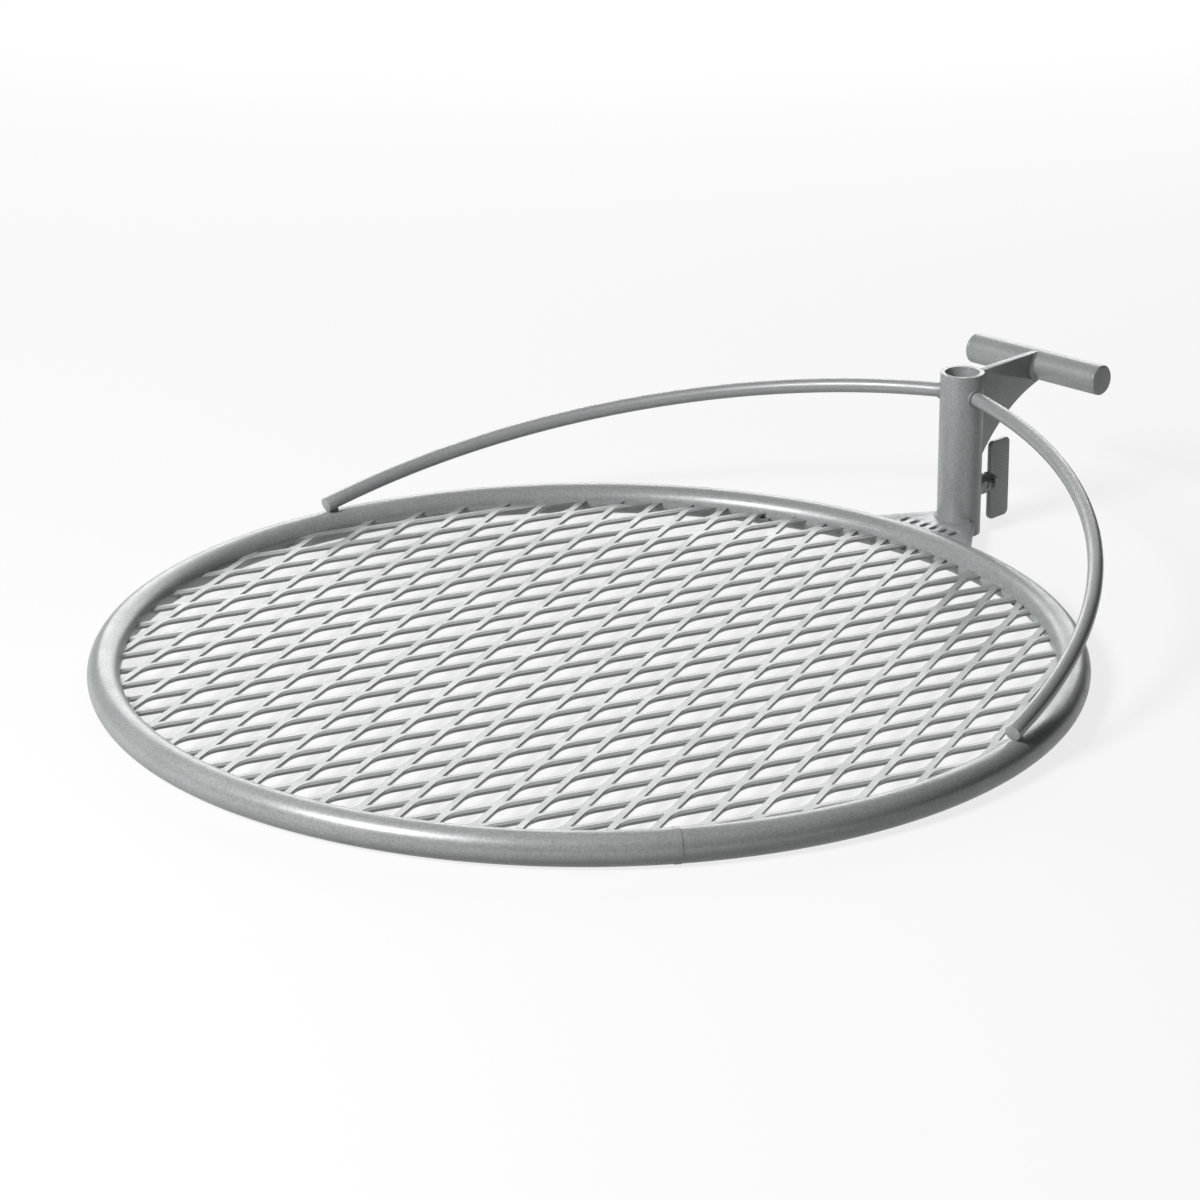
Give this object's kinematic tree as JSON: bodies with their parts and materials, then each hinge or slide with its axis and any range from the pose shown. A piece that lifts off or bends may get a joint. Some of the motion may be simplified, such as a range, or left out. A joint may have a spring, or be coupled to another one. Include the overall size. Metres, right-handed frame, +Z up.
{
  "type": "swing-out grill grate",
  "caption": "Round expanded-metal cooking grate with a pipe rim, brace rods, T handle and a post sleeve with a clamp screw.",
  "frame": {"origin": "axis of the post sleeve's bore, at the sleeve's lower end, level with the rim's underside", "axes": "+Z up along the post; +Y from the grate towards the handle; +X to the right as seen from the grate's free edge towards the handle"},
  "size_m": [0.7999, 0.9814, 0.1455],
  "materials": {
    "rim_steel": "satin steel pipe",
    "mesh_steel": "satin expanded steel",
    "plate_steel": "satin steel plate",
    "sleeve_steel": "satin steel tube",
    "rod_steel": "satin steel rod",
    "handle_steel": "satin steel pipe",
    "fastener_steel": "zinc-plated steel",
    "weld_steel": "dressed weld bead"
  },
  "bodies": {
    "grate": {"rim_ring": "rim_steel", "rim_butt_weld": "weld_steel", "mesh_deck": "mesh_steel", "mesh_tack_welds": "weld_steel", "support_plate": "plate_steel", "plate_rim_welds": "weld_steel", "plate_sleeve_welds": "weld_steel", "post_sleeve": "sleeve_steel", "brace_rod_left": "rod_steel", "brace_rod_right": "rod_steel", "rod_sleeve_welds": "weld_steel", "rod_foot_welds": "weld_steel", "handle_gusset": "plate_steel", "gusset_sleeve_welds": "weld_steel", "gusset_handle_welds": "weld_steel", "handle_tube": "handle_steel", "handle_end_caps": "handle_steel", "clamp_nut": "fastener_steel", "clamp_nut_weld": "weld_steel"},
    "washers": {"clamp_washers": "fastener_steel"},
    "wing_screw": {"clamp_screw": "fastener_steel", "wing_plate": "plate_steel", "wing_welds": "weld_steel"}
  },
  "joints": [
    {"name": "clamp_travel", "type": "slide", "parent": "grate", "child": "washers", "axis": [0, 1, 0], "range_m": [-0.00046, 0.0091]},
    {"name": "clamp_turn", "type": "hinge", "parent": "washers", "child": "wing_screw", "pos_m": [0, 0, 0.0363], "axis": [0, 1, 0], "range_deg": [-90, 1800]}
  ],
  "couplings": [
    {"joint": "clamp_travel", "follows": "clamp_turn", "m_per_rad": 0.00028874}
  ]
}
